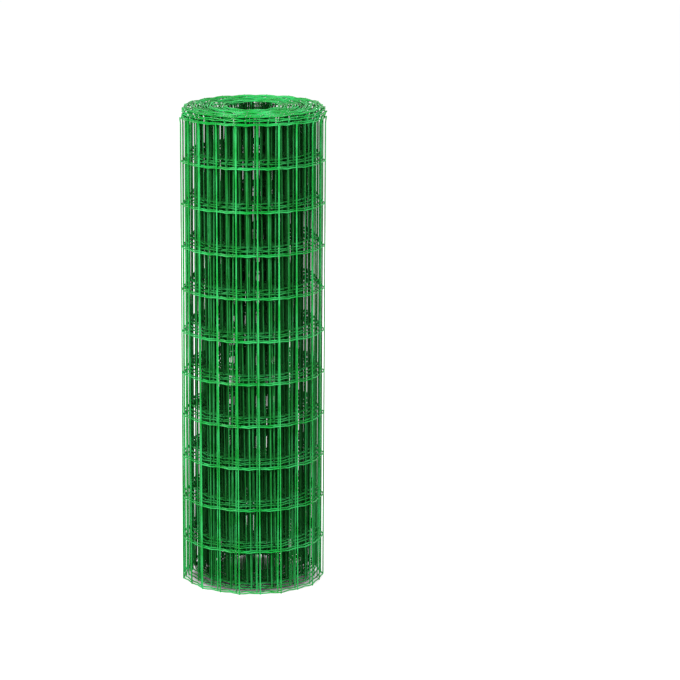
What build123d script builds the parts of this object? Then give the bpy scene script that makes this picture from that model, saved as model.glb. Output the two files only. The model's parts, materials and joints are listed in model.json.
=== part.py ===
"""A roll of welded mesh fencing, standing on its end, as one turned solid.

The mesh has line wires along the strip and cross wires across it. Wound up, each turn is a thin drum of its
own, and the turns have slid along each other as they do when a roll is lifted by its middle: the outermost
turn stands on the ground, the next few step up from it, and the rest ride higher still, so the top is crowned
and the underside hollow by the same amount. At the top the raised turns have sprung outwards, over the edge of
the outermost one, so the crown is nearly as wide as the roll.

Millimetres, +Z up, origin on the ground at the middle of the roll.
"""
from build123d import *
import os

# The mesh
CELL_HEIGHT = 100.0
CELLS_HIGH = 11
WIRE_END_STUB = 2.0  # from the centre of an edge line wire to the cut end of a cross wire

# The roll
ROLL_DIAMETER = 350.0
BORE_DIAMETER = 114.0
TURNS = 21

# How much higher than the outermost turn the others stand
CROWN_RISE = 36.0  # the turns of the crown
BORE_RISE = 34.0  # the innermost turn, where the roll sags back a little
CROWN_FROM_TURN = 5  # the first turn that has the whole rise

CROWN_SPRING = 16.0  # how far the tops of the crown's first turns have sprung outwards
TURN_GROOVE_DEPTH = 3.0  # between two turns, on both ends

MESH_HEIGHT = CELLS_HIGH * CELL_HEIGHT + 2 * WIRE_END_STUB
ROLL_RADIUS = ROLL_DIAMETER / 2
BORE_RADIUS = BORE_DIAMETER / 2
TURN_PITCH = (ROLL_RADIUS - BORE_RADIUS) / TURNS


def smooth_step(share):
    """0 up to a share of 0 and 1 from a share of 1, with a level start and end."""
    share = min(max(share, 0.0), 1.0)
    return share * share * (3 - 2 * share)


def turn_rise(turn):
    """How much higher a turn stands than the outermost one, which is turn 0."""
    climb = CROWN_RISE * min(turn / CROWN_FROM_TURN, 1.0)
    sag = (CROWN_RISE - BORE_RISE) * smooth_step((turn - CROWN_FROM_TURN) / (TURNS - 1 - CROWN_FROM_TURN))
    return climb - sag


def top_spring(turn):
    """How far the top of a turn has sprung outwards: most for the first turns of the crown, nothing at the bore."""
    sprung = smooth_step((turn + 1) / CROWN_FROM_TURN)
    held_back = min((TURNS - 1 - turn) / (TURNS - 1 - CROWN_FROM_TURN), 1.0)
    return CROWN_SPRING * sprung * held_back


def groove_between(ridge, next_ridge, outward):
    """The bottom of the groove between two ridges, square to the line from one to the other."""
    step = next_ridge - ridge
    into_roll = Vector(-step.Y, step.X).normalized() * outward
    return (ridge + next_ridge) / 2 + into_roll * TURN_GROOVE_DEPTH


def end_profile(edge_height, outward, spring):
    """One end of the roll, from the outermost turn to the bore, as points of radius and height.

    edge_height is where the outermost turn ends, outward is 1 on the top and -1 on the underside, and spring
    gives how far a turn has sprung outwards there. The outermost turn is a flat rim and the others are ridges.
    """
    points = [Vector(ROLL_RADIUS, edge_height), Vector(ROLL_RADIUS - TURN_PITCH, edge_height)]
    for turn in range(1, TURNS):
        middle_radius = ROLL_RADIUS - TURN_PITCH * (turn + 0.5)
        ridge = Vector(middle_radius + spring(turn), edge_height + turn_rise(turn))
        points += [groove_between(points[-1], ridge, outward), ridge]
    points.append(Vector(BORE_RADIUS, points[-1].Y - outward * TURN_GROOVE_DEPTH))
    return points


def roll_of_mesh():
    """The half section on the side of +X, turned about the upright axis.

    The outline's two long sides are the outermost turn and the wall of the bore.
    """
    underside = end_profile(0.0, outward=-1, spring=lambda turn: 0.0)
    top = end_profile(MESH_HEIGHT, outward=1, spring=top_spring)
    outline = Polyline(*reversed(underside), *top, close=True)
    return revolve(make_face(Plane.XZ * outline), axis=Axis.Z)


def check_roll(roll):
    """The roll is one closed solid of the height and diameter that its sizes give."""
    size = roll.bounding_box().size
    tallest = MESH_HEIGHT + max(turn_rise(turn) for turn in range(TURNS))
    assert roll.is_valid, "the roll is not a valid solid"
    assert len(roll.solids()) == 1, "the roll is not one solid"
    assert abs(size.Z - tallest) < 0.01, "the roll's height is off"
    assert abs(size.X - ROLL_DIAMETER) < 0.01, "the roll's diameter is off"


os.makedirs("parts", exist_ok=True)
mesh_roll = roll_of_mesh()
check_roll(mesh_roll)
export_step(mesh_roll, "parts/mesh_roll.step")
print(f"turn pitch {TURN_PITCH:.2f} mm, volume {mesh_roll.volume / 1e6:.2f} litres")
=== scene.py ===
# %% [markdown]
# This script dresses a roll of green welded mesh fencing. The real thing is one strip of mesh, wound on
# itself: line wires run along the strip, cross wires stand across it, and every crossing is a weld under a
# coat of PVC. The frame is a plain turned body with the right height, diameter and bore. The wires are
# built around its axis, inside its box, and then stand for it.

# %% Load the frame
import json
import math
from itertools import combinations

import bpy
import numpy as np
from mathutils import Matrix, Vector


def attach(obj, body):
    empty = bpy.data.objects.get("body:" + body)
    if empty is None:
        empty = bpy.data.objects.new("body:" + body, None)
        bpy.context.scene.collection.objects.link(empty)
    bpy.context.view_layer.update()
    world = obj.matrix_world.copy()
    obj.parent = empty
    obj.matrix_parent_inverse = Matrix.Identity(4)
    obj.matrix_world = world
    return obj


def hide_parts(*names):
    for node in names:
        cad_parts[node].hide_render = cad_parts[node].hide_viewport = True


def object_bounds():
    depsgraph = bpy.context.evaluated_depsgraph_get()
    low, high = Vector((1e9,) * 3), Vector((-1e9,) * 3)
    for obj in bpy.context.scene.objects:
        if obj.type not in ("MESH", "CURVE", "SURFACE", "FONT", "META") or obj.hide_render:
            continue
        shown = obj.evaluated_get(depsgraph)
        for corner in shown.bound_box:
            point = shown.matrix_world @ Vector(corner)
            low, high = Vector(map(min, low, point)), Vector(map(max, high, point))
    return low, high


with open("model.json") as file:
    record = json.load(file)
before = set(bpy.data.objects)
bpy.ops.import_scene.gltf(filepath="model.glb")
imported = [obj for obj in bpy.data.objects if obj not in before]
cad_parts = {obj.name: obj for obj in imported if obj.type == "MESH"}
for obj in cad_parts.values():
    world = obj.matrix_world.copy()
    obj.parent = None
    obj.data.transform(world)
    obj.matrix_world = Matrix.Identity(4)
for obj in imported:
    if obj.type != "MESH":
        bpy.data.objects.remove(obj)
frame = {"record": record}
cad_low, cad_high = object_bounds()
bore_mount = next(mount for mount in frame["record"]["mounts"] if mount["name"] == "bore")
print("CAD box", [round(x, 4) for x in cad_low], [round(x, 4) for x in cad_high])

# %% [markdown]
# A mesh maker gives four sizes: the cell's height and width, the number of cells and the wire's thickness.
# Lengths are in metres, and a size that people know in millimetres is written as millimetres times MM.

# %% Sizes of the mesh
MM = 0.001
CELL_HEIGHT = 100 * MM
CELLS_HIGH = 11
CELL_WIDTH = 48.7 * MM  # nominally 50 mm
WIRE = 3.0 * MM  # over the PVC
STEEL_CORE = 2.5 * MM
WELD_SINK = 1.0 * MM  # how far the two coated wires sink into each other
WIRE_END_STUB = 2.0 * MM  # from the centre of an edge line wire to the cut end of a cross wire
CRIMP = 1.7 * MM  # depth of the dip in a line wire, midway between two cross wires

MESH_HEIGHT = CELLS_HIGH * CELL_HEIGHT + 2 * WIRE_END_STUB
CROSSING = 2 * WIRE - WELD_SINK  # the strip's thickness at a weld
LINE_INSIDE_CROSS = WIRE - WELD_SINK  # between the two wires' centres

# %% [markdown]
# The roll's diameter, height and bore come from the frame, so the wires follow when the turned body
# changes. That body is the same all round, but a real crown leans: its front stands less far above the
# outermost turn than its back. The wires keep inside the body, so the back of the crown is as high as the
# body and the front is lower.

# %% Sizes of the roll
RIM_SPRING = 1.7 * MM  # room for the top of the outermost turn, which springs outwards by less than this
CROWN_SPRING = 16 * MM  # how far the tops of the crown's first turns have sprung outwards
ROLL_RADIUS = cad_high.x - RIM_SPRING
BORE_RADIUS = bore_mount["dims"]["r_mm"] * MM
CROWN_RISE = cad_high.z - MESH_HEIGHT  # at the crown's highest place, which is at its back
CROWN_SLOPE = 0.05  # how much higher the crown stands for each metre to the back
CROWN_EDGE = 160 * MM  # the crown's highest place is no farther than this from the roll's axis
MEAN_RISE = CROWN_RISE - CROWN_SLOPE * CROWN_EDGE
CROWN_FROM_TURN = 4  # the crown's first turn
print(f"mesh {MESH_HEIGHT:.3f} m high, crown {CROWN_RISE / MM:.0f} mm above the outermost turn at its back")

# %% [markdown]
# A roll is a spiral, so one number says where a point of the strip is: the turn, 0 at the loose end and one
# more for each time round. Everything else is a function of the turn. Angles are 0 at the front, towards
# -Y, and grow towards +X. The loose end is at the back.

# %% Angles and noise along the strip
LOOSE_END_ANGLE = math.pi - math.radians(5)
FRONT_CROSS_WIRE_ANGLE = math.radians(4.0)
NOISE_VALUES = 4096
NOISE_OCTAVES = 2
NOISE_START = 17.3  # which of the values the noise starts from


def angle_of(turn):
    return LOOSE_END_ANGLE + 2 * math.pi * turn


def smooth_step(x):
    """0 up to 0 and 1 from 1, with a level start and end, for arrays."""
    x = np.clip(x, 0.0, 1.0)
    return x * x * (3 - 2 * x)


def soft_noise(x, seed):
    """Smooth noise between -1 and 1 for x from 0 on, with bumps about one unit of x long."""
    total = np.zeros_like(x)
    for octave in range(NOISE_OCTAVES):
        values = np.random.default_rng(seed + octave).uniform(-1, 1, NOISE_VALUES)
        place = x * 2**octave + NOISE_START
        cell = np.floor(place).astype(int)
        blend = smooth_step(place - cell)
        total += (values[cell] * (1 - blend) + values[cell + 1] * blend) / 2**octave
    return total / sum(1 / 2**octave for octave in range(NOISE_OCTAVES))


# %% [markdown]
# Radii are worked out from the outside in. The turns can't pass through each other, so each one lies the
# thickness of a crossing inside the last, plus a little slack. The slack decides where each cross wire
# comes to stand behind those of the turns round it. The table's values were searched for, so that the wires
# fill each other's gaps as seen from the camera. From other sides more of the background shows through. The
# mesh bends at its cross wires only, so the outer turns have flats, and these fade towards the bore. As
# they fade, a flat lies up to 0.4 mm nearer to the next turn's, which is less than the two coats of PVC
# between their wires' steel, and the coats sink into each other there.

# %% Radius of the strip
SAMPLES_PER_TURN = 720
MOST_TURNS = 25
COMES_IN_FROM = 0.3  # the turn from which the outermost one comes in, to pass under its own loose end
BORE_CLEARANCE = 0.3 * MM
FLAT_SIDES = 11  # the outermost turn has a flat for each two cells
FLAT_DEPTH_TURNS = [0, 12]
FLAT_DEPTHS = [5.5 * MM, 0.5 * MM]  # of the middle of a flat inside its circle, at those turns

# Millimetres, at every half turn
SLACKS = [0.19, 0.1, 0.02, 0.13, 0.24, 0.13, 0.02, 0.56, 0.71, 0.71, 0.73, 0.45, 0.19, 0.22, 0.2, 0.37,
          0.5, 0.41, 0.28, 0.51, 0.71, 0.55, 0.51, 0.43, 0.45, 0.34, 0.02, 0.35, 0.33, 0.34, 0.26, 0.42,
          0.44, 0.38, 0.02, 0.02, 0.02, 0.02, 0.02, 0.83, 0.05, 0.31, 0.02, 1.18, 1.38]


def at_half_turns(table, turn):
    """The value at a turn of a table that has one value for every half turn."""
    return np.interp(2 * turn, np.arange(len(table)), table)


def flat_depth(turn):
    """How far the strip lies inside its circle: nothing at a bend, most in the middle of a flat."""
    depth = np.interp(turn, FLAT_DEPTH_TURNS, FLAT_DEPTHS)
    side = 2 * math.pi / FLAT_SIDES
    place = np.mod(angle_of(turn) - FRONT_CROSS_WIRE_ANGLE + side / 2, side) / side
    return depth * 4 * place * (1 - place)


def strip_radii():
    """The turns, from the loose end to the bore, and the strip's outer radius at each of them."""
    turn = np.arange(MOST_TURNS * SAMPLES_PER_TURN) / SAMPLES_PER_TURN
    step = (CROSSING + at_half_turns(SLACKS, turn) * MM).reshape(MOST_TURNS, SAMPLES_PER_TURN)
    coming_in = smooth_step((turn[:SAMPLES_PER_TURN] - COMES_IN_FROM) / (1 - COMES_IN_FROM))
    outermost = ROLL_RADIUS - step[0, 0] * coming_in
    inside_outermost = np.vstack([np.zeros(SAMPLES_PER_TURN), np.cumsum(step, axis=0)[:-1]])
    radius = (outermost - inside_outermost).ravel() - flat_depth(turn)
    count = np.argmax(radius - CROSSING < BORE_RADIUS + BORE_CLEARANCE)
    return turn[:count], radius[:count]


turns, outer_radii = strip_radii()
cross_radii = outer_radii - WIRE / 2
line_radii = cross_radii - LINE_INSIDE_CROSS
mean_radii = (line_radii[1:] + line_radii[:-1]) / 2
line_steps = np.hypot(np.diff(line_radii), mean_radii * 2 * math.pi / SAMPLES_PER_TURN)
lengths = np.concatenate([[0.0], np.cumsum(line_steps)])
print(f"{turns[-1]:.2f} turns of mesh, {lengths[-1]:.2f} m long")

# %% [markdown]
# The turns have slid along each other: the outermost one stands on the ground and the next few step up to
# the crown. Seeded noise lets each turn sag by its own amount, so neighbours don't lie quite level.

# %% Height of the strip
CLIMB_TURNS = [0.5, 1.5, 2.5, 3.5, 4.5]
CLIMB_SHARES = [0.0, 0.13, 0.50, 0.80, 1.0]  # of the crown's rise, at those turns
MOST_SAG = 6 * MM
SAG_FROM_TURN = 1
SAG_GROWS_OVER = 3  # turns
SAGS_PER_TURN = 2.3
SAG_SEED = 29


def rise(turn):
    """How far the strip stands above the ground at a turn."""
    to_the_back = -np.interp(turn, turns, outer_radii) * np.cos(angle_of(turn))
    crown = MEAN_RISE + CROWN_SLOPE * to_the_back
    share = np.interp(turn, CLIMB_TURNS, CLIMB_SHARES)
    sag = MOST_SAG * smooth_step((turn - SAG_FROM_TURN) / SAG_GROWS_OVER)
    sag *= 0.5 + 0.5 * soft_noise(turn * SAGS_PER_TURN, SAG_SEED)
    return np.maximum(crown * share - sag, 0.0)


# %% [markdown]
# The roll is also wrung a little, by another angle at each half turn, so its cross wires lean. The angles
# were searched for along with the slack. And at the top the crown has sprung outwards over the rim, most in
# its first turns and not at all at the bore.

# %% Lean and spring of the strip
SPRING_LEAD = 0.2  # how far below the rim the spring starts, as a share of the crown's rise

# Degrees by which the bottom of a cross wire is turned ahead of its top, at every half turn
TWISTS = [3.0, 3.0, 3.0, -0.6, -1.5, 4.7, 0.3, -2.5, 5.0, 8.4, 8.5, 8.5, -2.2, -2.3, 7.5, 2.9, -2.5, 0.3,
          6.0, 5.3, 5.9, -2.5, 7.1, 8.5, -2.5, 8.5, -0.3, 1.0, 6.6, 6.8, 3.9, 4.9, 8.5, 1.4, 1.0, -2.5,
          0.7, -2.5, -2.5, -2.2, -1.4, -1.8, -0.8, -2.0, -1.9]


def spring_out(turn, height):
    """How far the strip has sprung outwards at a height up the mesh, over the turns round it."""
    over_rim = rise(turn) + height - MESH_HEIGHT
    sprung = smooth_step(over_rim / MEAN_RISE + SPRING_LEAD)
    free = np.clip((turns[-1] - turn) / (turns[-1] - CROWN_FROM_TURN), 0.0, 1.0)
    return CROWN_SPRING * sprung * free


def on_strip(length, radii, height):
    """Points of the strip at a length from the loose end and a height up the mesh.

    radii is the table to take the radius from, such as that of the cross wires' centres.
    """
    turn = np.interp(length, lengths, turns)
    radius = np.interp(length, lengths, radii) + spring_out(turn, height)
    angle = angle_of(turn) + np.radians(at_half_turns(TWISTS, turn)) * (0.5 - height / MESH_HEIGHT)
    return np.stack([radius * np.sin(angle), -radius * np.cos(angle), rise(turn) + height], axis=-1)


# %% [markdown]
# The machine that welds the mesh sets its cross wires at one even spacing. On the roll they follow the
# length of the strip, not the angle, so they stand at other angles on each turn. The first one is placed so
# that a cross wire comes to stand near the front of the outermost turn, in the middle of a flat. That flat
# then has its two bends close to the next cross wires on its left and right.

# %% Cross wire places
LAST_LINE_STUB = 5 * MM  # the least that the line wires run past the last cross wire, at the bore


def first_cross_wire():
    """The first cross wire's length from the loose end: whole cells before the one at the front."""
    front_turn = (FRONT_CROSS_WIRE_ANGLE + 2 * math.pi - LOOSE_END_ANGLE) / (2 * math.pi)
    return np.interp(front_turn, turns, lengths) % CELL_WIDTH


cross_lengths = np.arange(first_cross_wire(), lengths[-1] - LAST_LINE_STUB, CELL_WIDTH)
print(f"{len(cross_lengths)} cross wires, the first {cross_lengths[0] / MM:.0f} mm from the loose end")

# %% [markdown]
# Every wire is a tube along a path, so one function makes them all. The wires of a piece are joined before
# Blender sees them, because a few big meshes load and render faster than hundreds of small ones. Each cut
# end has a rim of PVC and a disc of steel, as a sheared wire has.

# %% Tubes from paths
SIDES = 8
RING = [(corner, (corner + 1) % SIDES) for corner in range(SIDES)]  # each corner of a ring and the next
SHARP_EDGE = math.radians(60)  # the least angle between two faces that aren't shaded as one


def circles_round(path, reference):
    """A circle of radius 1 square to the path at each of its points, as vectors from its middle.

    reference is a direction for each point that the path doesn't run along there.
    """
    along = np.gradient(path, axis=0)
    along /= np.linalg.norm(along, axis=1, keepdims=True)
    side = np.cross(along, reference)
    side /= np.linalg.norm(side, axis=1, keepdims=True)
    up = np.cross(side, along)
    angle = np.arange(SIDES) * 2 * math.pi / SIDES
    return np.cos(angle)[None, :, None] * side[:, None] + np.sin(angle)[None, :, None] * up[:, None]


def tube(path, reference):
    """A wire along a path: its vertices, its faces, and how many of the last faces are cut steel."""
    circles = circles_round(path, reference)
    vertices = np.vstack([(path[:, None] + WIRE / 2 * circles).reshape(-1, 3),
                          path[0] + STEEL_CORE / 2 * circles[0], path[-1] + STEEL_CORE / 2 * circles[-1]])
    end_rim = (len(path) - 1) * SIDES
    start_core = end_rim + SIDES
    end_core = start_core + SIDES
    faces = [[ring + a, ring + b, ring + SIDES + b, ring + SIDES + a]
             for ring in range(0, end_rim, SIDES) for a, b in RING]
    faces += [[start_core + a, start_core + b, b, a] for a, b in RING]
    faces += [[end_rim + a, end_rim + b, end_core + b, end_core + a] for a, b in RING]
    discs = [[start_core + a for a in reversed(range(SIDES))], [end_core + a for a in range(SIDES)]]
    return vertices, faces + discs, len(discs)


def joined_mesh(name, parts, coat, steel):
    """One object from many parts, each one its vertices, its faces and how many of the last are steel."""
    vertices, faces, is_steel = [], [], []
    base = 0
    for part_vertices, part_faces, steel_count in parts:
        vertices.append(part_vertices)
        faces += [[v + base for v in face] for face in part_faces]
        is_steel += [False] * (len(part_faces) - steel_count) + [True] * steel_count
        base += len(part_vertices)
    mesh = bpy.data.meshes.new(name)
    mesh.from_pydata(np.vstack(vertices).tolist(), [], faces)
    mesh.materials.append(coat)
    mesh.materials.append(steel)
    mesh.polygons.foreach_set("material_index", np.array(is_steel, dtype=np.int32))
    mesh.shade_smooth()
    mesh.set_sharp_from_angle(angle=SHARP_EDGE)
    mesh.update()
    piece = bpy.data.objects.new(name, mesh)
    bpy.context.scene.collection.objects.link(piece)
    print(f"{name}: {sum(len(face) - 2 for face in faces)} triangles")
    return piece


# %% [markdown]
# Node materials are long when they are written one socket at a time, so one helper adds a node, sets it and
# links it. Colours are given as they are seen on a screen and turned into the linear values that a renderer
# works with.

# %% Material helpers
def srgb(hex_colour):
    """A hex colour as it is seen on a screen, turned into linear values by the sRGB standard's curve."""
    channels = [int(hex_colour[i:i + 2], 16) / 255 for i in (1, 3, 5)]
    linear = [c / 12.92 if c <= 0.04045 else ((c + 0.055) / 1.055) ** 2.4 for c in channels]
    return (*linear, 1.0)


def add_node(tree, kind, links=(), **settings):
    """Adds a node, sets its properties and sockets by name, and links sockets into it.

    A socket's name is written with underscores for its spaces in the settings, and as it is in the links.
    """
    node = tree.nodes.new(kind)
    for name, value in settings.items():
        if hasattr(node, name):
            setattr(node, name, value)
        else:
            node.inputs[name.replace("_", " ")].default_value = value
    for socket, source in links:
        tree.links.new(source, node.inputs[socket])
    return node


def ramp(tree, value, start, end, low=0.0, high=1.0, kind="SMOOTHSTEP"):
    """low where value is at start, high where it is at end, and between them a slope."""
    node = add_node(tree, "ShaderNodeMapRange", [("Value", value)], interpolation_type=kind,
                    From_Min=start, From_Max=end, To_Min=low, To_Max=high)
    return node.outputs["Result"]


def arithmetic(tree, operation, *terms):
    """The result of an operation on two terms, each one a number or another node's socket."""
    node = add_node(tree, "ShaderNodeMath", operation=operation)
    for place, term in enumerate(terms):
        if isinstance(term, (int, float)):
            node.inputs[place].default_value = term
        else:
            tree.links.new(term, node.inputs[place])
    return node.outputs["Value"]


def new_material(name):
    material = bpy.data.materials.new(name)
    material.use_nodes = True
    material.node_tree.nodes.clear()
    return material, material.node_tree


# %% [markdown]
# Inside the roll it is dark, because light comes in through many layers of wire and little of it gets back
# out. A few lamps show that too weakly in wires as thin as these. So the coat is also painted darker with
# depth: dark between the turns, and dim right behind the rim, under the crown. Both are counted inwards
# from the outermost turn and down from the top end.

# %% Painted shade by depth inside the roll
# How far in or down each part of the painted shade starts, and where it is full
DARK_INWARDS = (5 * MM, 42 * MM)
DARK_DOWN = (3 * MM, 16 * MM)
DIM_INWARDS = (9 * MM, 16 * MM)
DIM_DOWN = (2.5 * MM, 7 * MM)
DIM_SHARE = 0.55  # how dark the dim part is, where the dark part is 1


def below_top_end(tree, axes, inwards):
    """How far a place lies below the top end, which climbs from the rim to the leaning crown."""
    lean = CROWN_SLOPE * ROLL_RADIUS
    crown = ramp(tree, axes.outputs["Y"], -ROLL_RADIUS, ROLL_RADIUS, MEAN_RISE - lean, MEAN_RISE + lean,
                 "LINEAR")
    climbed = ramp(tree, inwards, 0.0, CROWN_FROM_TURN * CROSSING - CROWN_SPRING, kind="LINEAR")
    above_rim = arithmetic(tree, "SUBTRACT", axes.outputs["Z"], MESH_HEIGHT)
    return arithmetic(tree, "SUBTRACT", arithmetic(tree, "MULTIPLY", crown, climbed), above_rim)


def painted_shade_share(tree, place):
    """How much painted shade a place gets: 0 on the outermost turn and on the top end, 1 deep between the
    turns.
    """
    axes = add_node(tree, "ShaderNodeSeparateXYZ", [("Vector", place)])
    flat = add_node(tree, "ShaderNodeCombineXYZ", [("X", axes.outputs["X"]), ("Y", axes.outputs["Y"])])
    radius = add_node(tree, "ShaderNodeVectorMath", [(0, flat.outputs["Vector"])], operation="LENGTH")
    inwards = arithmetic(tree, "SUBTRACT", ROLL_RADIUS, radius.outputs["Value"])
    down = below_top_end(tree, axes, inwards)
    dark = arithmetic(tree, "MULTIPLY", ramp(tree, inwards, *DARK_INWARDS), ramp(tree, down, *DARK_DOWN))
    under_crown = ramp(tree, down, *DIM_DOWN, 0.0, DIM_SHARE)
    dim = arithmetic(tree, "MULTIPLY", ramp(tree, inwards, *DIM_INWARDS), under_crown)
    return arithmetic(tree, "MAXIMUM", dark, dim)


# %% [markdown]
# The wire is galvanised steel in a coat of green PVC. The coat is glossy, with patches a few centimetres
# wide that are paler and duller, and an orange peel skin of less than a millimetre. PVC has an index of
# refraction of 1.5. Its reflections are turned down here, because those of the white world would bleach
# such thin wires. Deep inside the roll the coat is painted darker, as painted shade, and rough so that it
# doesn't glint.

# %% PVC coat
PALE_PATCH = 45 * MM
PALE_NOISE = (0.38, 0.64)  # the noise's values between which the coat turns from fresh green to pale
GLOSSY, DULL = 0.24, 0.4  # roughness
ORANGE_PEEL = 0.8 * MM
ORANGE_PEEL_DEPTH = 0.1 * MM


def pvc_coat():
    material, tree = new_material("pvc_coated_galvanised_wire")
    place = add_node(tree, "ShaderNodeTexCoord").outputs["Object"]
    patches = add_node(tree, "ShaderNodeTexNoise", [("Vector", place)], Scale=1 / PALE_PATCH, Detail=3.0)
    pale = ramp(tree, patches.outputs["Fac"], *PALE_NOISE)
    surface = add_node(tree, "ShaderNodeMix", [("Factor", pale)], data_type="RGBA",
                       A=srgb("#0A8B30"), B=srgb("#2AA352"))
    depth = painted_shade_share(tree, place)
    # 033E11 is painted shade: the colour that wires deep inside the roll are darkened towards
    colour = add_node(tree, "ShaderNodeMix", [("Factor", depth), ("A", surface.outputs["Result"])],
                      data_type="RGBA", B=srgb("#033E11"))
    roughness = arithmetic(tree, "MAXIMUM", ramp(tree, pale, 0.0, 1.0, GLOSSY, DULL, "LINEAR"), depth)
    skin = add_node(tree, "ShaderNodeTexNoise", [("Vector", place)], Scale=1 / ORANGE_PEEL, Detail=2.0)
    bump = add_node(tree, "ShaderNodeBump", [("Height", skin.outputs["Fac"])],
                    Strength=0.12, Distance=ORANGE_PEEL_DEPTH)
    coat = add_node(tree, "ShaderNodeBsdfPrincipled",
                    [("Base Color", colour.outputs["Result"]), ("Roughness", roughness),
                     ("Normal", bump.outputs["Normal"])], IOR=1.5, Specular_IOR_Level=0.15)
    add_node(tree, "ShaderNodeOutputMaterial", [("Surface", coat.outputs["BSDF"])])
    return material


coat_material = pvc_coat()

# %% [markdown]
# Where a wire has been sheared, its steel core shows as a bare disc inside the ring of the coat. It is a
# metal, and a little rough from the cut.

# %% Cut steel
def cut_steel():
    material, tree = new_material("sheared_galvanised_steel")
    steel = add_node(tree, "ShaderNodeBsdfPrincipled",
                     Base_Color=srgb("#A9ACAE"), Metallic=1.0, Roughness=0.42)
    add_node(tree, "ShaderNodeOutputMaterial", [("Surface", steel.outputs["BSDF"])])
    return material


steel_material = cut_steel()

# %% [markdown]
# The line wires run all along the strip, one through each row of welds. They have a dip midway between two
# cross wires, which gives when a fence is strained. In the bottom row the dips point upwards and stay off
# the ground.

# %% Line wires
CRIMP_PLACES = np.array([0.0, 0.16, 0.3, 0.41, 0.5, 0.59, 0.7, 0.84])  # in cells from a cross wire
CRIMP_SHAPE = np.array([0.0, 0.02, -0.25, -0.72, -1.0, -0.72, -0.25, 0.02])  # the dip there, full at -1


def line_wire_places():
    """Lengths along the strip at which a line wire has a point, and how far it dips there."""
    cells = np.arange(-1, len(cross_lengths) + 1)
    places = (cross_lengths[0] + (cells[:, None] + CRIMP_PLACES) * CELL_WIDTH).ravel()
    dips = np.tile(CRIMP_SHAPE, len(cells)) * CRIMP
    on_mesh = (places > 0.0) & (places < lengths[-1])
    return places[on_mesh], dips[on_mesh]


def line_wire(row):
    places, dips = line_wire_places()
    height = WIRE_END_STUB + row * CELL_HEIGHT + (dips if row else -dips)
    path = on_strip(places, line_radii, height)
    straight_up = np.tile([0.0, 0.0, 1.0], (len(path), 1))
    return tube(path, straight_up)


def add_piece(name, parts):
    """Adds a piece that is fixed to the part's one body and stands for the turned body."""
    piece = joined_mesh(name, parts, coat_material, steel_material)
    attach(piece, "root")
    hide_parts("mesh_roll")


for row in range(CELLS_HIGH + 1):
    add_piece(f"line_wire_row_{row + 1:02d}", [line_wire(row)])

# %% [markdown]
# The cross wires are straight, with a short stub past each edge wire, and lie on the outside of the line
# wires. They bend only near the top, where the crown has sprung outwards, so their points are closest
# together there.

# %% Cross wires
BENT_PART = 60 * MM  # the top of a cross wire
POINTS_IN_EACH = 5  # in the straight part and in the bent one, with one shared between them


def cross_wire(length):
    bend = MESH_HEIGHT - BENT_PART
    straight = np.linspace(0, bend, POINTS_IN_EACH)
    heights = np.concatenate([straight[:-1], np.linspace(bend, MESH_HEIGHT, POINTS_IN_EACH)])
    path = on_strip(np.full_like(heights, length), cross_radii, heights)
    outward = path * np.array([1.0, 1.0, 0.0])
    return tube(path, outward)


add_piece("cross_wires", [cross_wire(length) for length in cross_lengths])

# %% [markdown]
# At a weld the two wires are pressed into each other, and the coat rounds off the corner between them.
# There are thousands of these beads, so each one is a ball of only twenty faces, shaded smooth.

# %% Welds
BEAD_RADIUS = 2.1 * MM


def ball():
    """An icosahedron's twelve corners, at a distance of 1 from its middle, and its twenty faces."""
    golden = (1 + math.sqrt(5)) / 2
    corners = []
    for a in (-1, 1):
        for b in (-golden, golden):
            corners += [(0, a, b), (a, b, 0), (b, 0, a)]
    corners = np.array(corners, dtype=float)
    edge = 2.0  # between two neighbours among these corners
    faces = []
    for i, j, k in combinations(range(len(corners)), 3):
        sides = np.array([corners[j] - corners[i], corners[k] - corners[i], corners[k] - corners[j]])
        if np.allclose(np.linalg.norm(sides, axis=1), edge):
            outward = np.dot(np.cross(sides[0], sides[1]), corners[i]) > 0
            faces.append([i, j, k] if outward else [i, k, j])
    return corners / np.linalg.norm(corners[0]), faces


def weld_beads():
    corners, faces = ball()
    parts = []
    for row in range(CELLS_HIGH + 1):
        heights = np.full_like(cross_lengths, WIRE_END_STUB + row * CELL_HEIGHT)
        middles = on_strip(cross_lengths, cross_radii - LINE_INSIDE_CROSS / 2, heights)
        parts += [(middle + BEAD_RADIUS * corners, faces, 0) for middle in middles]
    return parts


add_piece("weld_beads", weld_beads())

# %% [markdown]
# The roll stands on paper, before a white world. The camera and the reflections see both of them white. The
# light that bounces finds grey paper and a dim world, or the inside of the roll would be too bright. Under
# the roll the paper's glow fades out, as a painted shadow where the roll keeps the light off.

# %% Floor
WHITE = srgb("#FFFFFF")
GREY_PAPER = srgb("#7E7E7C")
FLOOR_GLOW = 0.88  # near the roll
# The glow fades out under the roll as a painted shadow, between these two distances from the axis
FLOOR_PAINTED_SHADOW = (ROLL_RADIUS - 48 * MM, ROLL_RADIUS + 4 * MM)  # how far from the axis it starts and is whole
FAR_FLOOR_GAIN = 1.13  # how much stronger the glow is farther out
FAR_FLOOR = (0.4, 2.0)  # how far from the axis that starts and is whole
FLOOR_REACH = 30.0


def seen_directly(tree):
    """1 for what the camera, a reflection or a look through glass sees, and 0 for light that bounces."""
    rays = add_node(tree, "ShaderNodeLightPath").outputs
    seen = arithmetic(tree, "MAXIMUM", rays["Is Camera Ray"], rays["Is Glossy Ray"])
    return arithmetic(tree, "MAXIMUM", seen, rays["Is Transmission Ray"])


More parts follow.
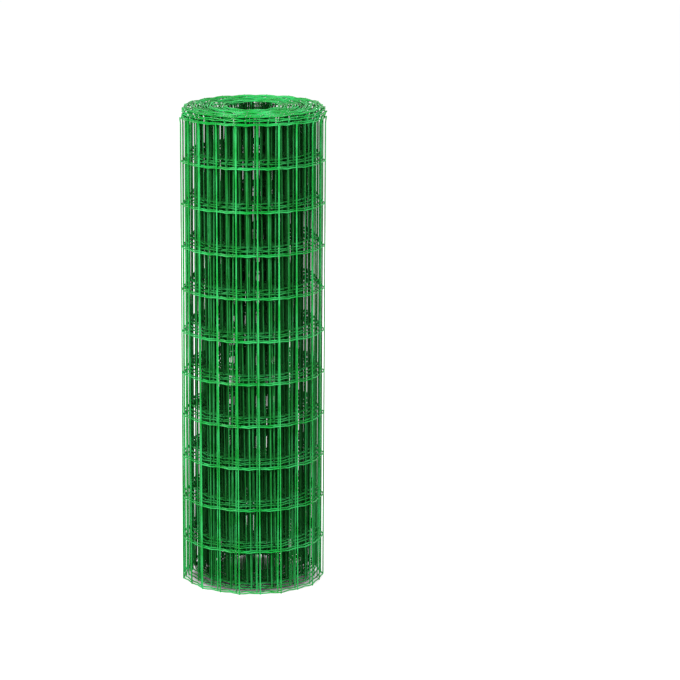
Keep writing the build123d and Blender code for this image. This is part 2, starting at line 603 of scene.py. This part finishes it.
def paper_floor():
    material, tree = new_material("white_paper_floor")
    place = add_node(tree, "ShaderNodeTexCoord")
    away = add_node(tree, "ShaderNodeVectorMath", [("Vector", place.outputs["Object"])], operation="LENGTH")
    # the glow, with a painted shadow under the roll
    open_floor = ramp(tree, away.outputs["Value"], *FLOOR_PAINTED_SHADOW, 0.0, FLOOR_GLOW)
    far_floor = ramp(tree, away.outputs["Value"], *FAR_FLOOR, 1.0, FAR_FLOOR_GAIN)
    strength = arithmetic(tree, "MULTIPLY", open_floor, far_floor)
    paper = add_node(tree, "ShaderNodeBsdfDiffuse", Color=GREY_PAPER)
    glow = add_node(tree, "ShaderNodeEmission", [("Strength", strength)])
    both = add_node(tree, "ShaderNodeAddShader", [(0, paper.outputs[0]), (1, glow.outputs[0])])
    mix = add_node(tree, "ShaderNodeMixShader",
                   [("Fac", seen_directly(tree)), (1, paper.outputs[0]), (2, both.outputs[0])])
    add_node(tree, "ShaderNodeOutputMaterial", [("Surface", mix.outputs[0])])
    return material


def add_floor():
    corners = [(x * FLOOR_REACH, y * FLOOR_REACH, 0) for x, y in ((-1, -1), (1, -1), (1, 1), (-1, 1))]
    mesh = bpy.data.meshes.new("floor")
    mesh.from_pydata(corners, [], [(0, 1, 2, 3)])
    mesh.materials.append(paper_floor())
    plane = bpy.data.objects.new("floor", mesh)
    bpy.context.scene.collection.objects.link(plane)


add_floor()

# %% [markdown]
# The world gives a weak even light from all sides, and a white background.

# %% World
WORLD_LIGHT = 0.08
BACKDROP = 1.0


def add_world():
    world = bpy.data.worlds.new("studio")
    world.use_nodes = True
    tree = world.node_tree
    tree.nodes.clear()
    light = add_node(tree, "ShaderNodeBackground", Color=WHITE, Strength=WORLD_LIGHT)
    backdrop = add_node(tree, "ShaderNodeBackground", Color=WHITE, Strength=BACKDROP)
    mix = add_node(tree, "ShaderNodeMixShader",
                   [("Fac", seen_directly(tree)), (1, light.outputs[0]), (2, backdrop.outputs[0])])
    add_node(tree, "ShaderNodeOutputWorld", [("Surface", mix.outputs[0])])
    bpy.context.scene.world = world


add_world()

# %% [markdown]
# Two square softboxes stand in front of the roll, to its left and right and above it. The left one is
# stronger, so each wire has a brighter side and a darker one. A third one stands behind the roll, so that
# its back can be looked at too.

# %% Lamps
SOFTBOX_SIDE = 1.0
ROLL_MIDDLE = Vector((0, 0, MESH_HEIGHT / 2))


def softbox(name, place, watts):
    """A square lamp at a place, turned to the middle of the roll."""
    lamp = bpy.data.lights.new(name, "AREA")
    lamp.shape = "SQUARE"
    lamp.size = SOFTBOX_SIDE
    lamp.energy = watts
    box = bpy.data.objects.new(name, lamp)
    box.location = place
    box.rotation_euler = (ROLL_MIDDLE - Vector(place)).to_track_quat("-Z", "Y").to_euler()
    bpy.context.scene.collection.objects.link(box)
    return box


softbox("left_softbox", (-3.3, -3.2, 2.7), watts=445)
softbox("right_softbox", (3.3, -3.0, 2.7), watts=300)
back_box = softbox("back_softbox", (0.8, 4.3, 2.7), watts=330)
back_box.visible_glossy = False  # it would put white glints all over the crown

# %% [markdown]
# The two ends of the roll look like ellipses. How far their fronts sag below their sides, one against the
# other, gives the height of the camera and its distance. The roll stands left of the middle of the picture,
# so the lens is shifted sideways by that much and the camera still looks straight at the roll's axis.

# %% Camera
CAMERA_DISTANCE = 6.0
CAMERA_HEIGHT = 1.832
CAMERA_PITCH = math.radians(11.842)  # below level
FOCAL_PIXELS = 2602
PHOTO_PIXELS = 680
ROLL_AXIS_PIXEL = 253.6  # from the picture's left edge
SENSOR_WIDTH = 36  # millimetres, as Blender has it
CLIP_END = 200

camera_data = bpy.data.cameras.new("camera")
camera_data.sensor_width = SENSOR_WIDTH
camera_data.lens = FOCAL_PIXELS / PHOTO_PIXELS * SENSOR_WIDTH
camera_data.shift_x = (PHOTO_PIXELS / 2 - ROLL_AXIS_PIXEL) / PHOTO_PIXELS
camera_data.clip_end = CLIP_END
camera = bpy.data.objects.new("camera", camera_data)
camera.location = (0, -CAMERA_DISTANCE, CAMERA_HEIGHT)
camera.rotation_euler = (math.pi / 2 - CAMERA_PITCH, 0, 0)
bpy.context.scene.collection.objects.link(camera)
bpy.context.scene.camera = camera

# %% [markdown]
# The colours are shown through Blender's Standard view transform.

# %% Finish
bpy.context.scene.view_settings.view_transform = "Standard"
